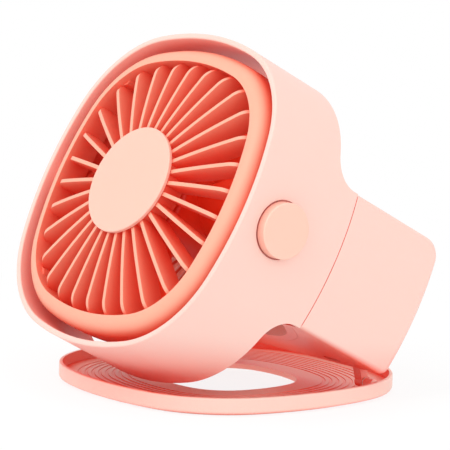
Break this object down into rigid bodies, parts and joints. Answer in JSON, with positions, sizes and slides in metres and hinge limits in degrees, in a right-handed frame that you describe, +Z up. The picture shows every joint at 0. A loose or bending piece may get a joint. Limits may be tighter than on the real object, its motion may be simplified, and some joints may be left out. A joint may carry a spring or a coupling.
{
  "type": "desk fan",
  "caption": "Small desk fan with a tilting round-cornered head in a square yoke frame, a rear arm hinged to a ring-shaped tray base and a push button on its side.",
  "frame": {"origin": "centre of the underside of the base's foot pad, on the table", "axes": "+Z up, -Y towards the side the fan blows to, +X towards the power button"},
  "size_m": [0.1553, 0.1538, 0.1585],
  "materials": {
    "shell": "satin moulded plastic",
    "grille": "satin moulded plastic",
    "cap": "satin moulded plastic",
    "button": "satin moulded plastic",
    "base": "satin moulded plastic",
    "impeller": "satin moulded plastic",
    "rubber": "soft silicone",
    "steel": "plain steel",
    "nylon": "natural nylon",
    "circuit": "solder mask",
    "bronze": "sintered bronze",
    "copper": "enamelled copper wire",
    "magnet": "bonded ferrite",
    "dark": "black plastic"
  },
  "bodies": {
    "base": {"base_tray": "base", "base_weight": "steel", "base_foot_pad": "rubber", "hinge_pins": "steel", "hinge_washers": "nylon"},
    "arm": {"frame": "shell", "rear_housing": "shell", "housing_cover": "shell", "housing_screws": "steel", "circuit_board": "circuit", "board_screws": "steel", "usb_socket": "steel", "pivot_bushes": "nylon"},
    "head": {"front_grille": "grille", "hub_cap": "cap", "rear_shell": "grille", "shell_screws": "steel", "right_pivot": "nylon", "left_pivot": "nylon", "left_pivot_cap": "button", "switch_board": "circuit", "tact_switch": "dark", "stator_core": "steel", "stator_coils": "copper", "motor_board": "circuit", "sleeve_bearing": "bronze"},
    "button": {"power_button": "button", "switch_plunger": "dark"},
    "rotor": {"impeller": "impeller", "rotor_cup": "steel", "rotor_magnet": "magnet", "motor_shaft": "steel", "shaft_clip": "nylon"}
  },
  "joints": [
    {"name": "arm_tilt", "type": "hinge", "parent": "base", "child": "arm", "pos_m": [0, 0.03549, 0.0068], "axis": [-1, 0, 0], "range_deg": [-2, 45]},
    {"name": "head_tilt", "type": "hinge", "parent": "arm", "child": "head", "pos_m": [0, -0.03, 0.0825], "axis": [-1, 0, 0], "range_deg": [-45, 45]},
    {"name": "button_press", "type": "slide", "parent": "head", "child": "button", "axis": [-1, 0, 0], "range_m": [0, 0.001], "stiffness_N_per_m": 900, "springref_m": -0.0005},
    {"name": "impeller_spin", "type": "hinge", "parent": "head", "child": "rotor", "pos_m": [0, -0.03, 0.0825], "axis": [0, -0.8829, 0.4695], "continuous": true}
  ]
}
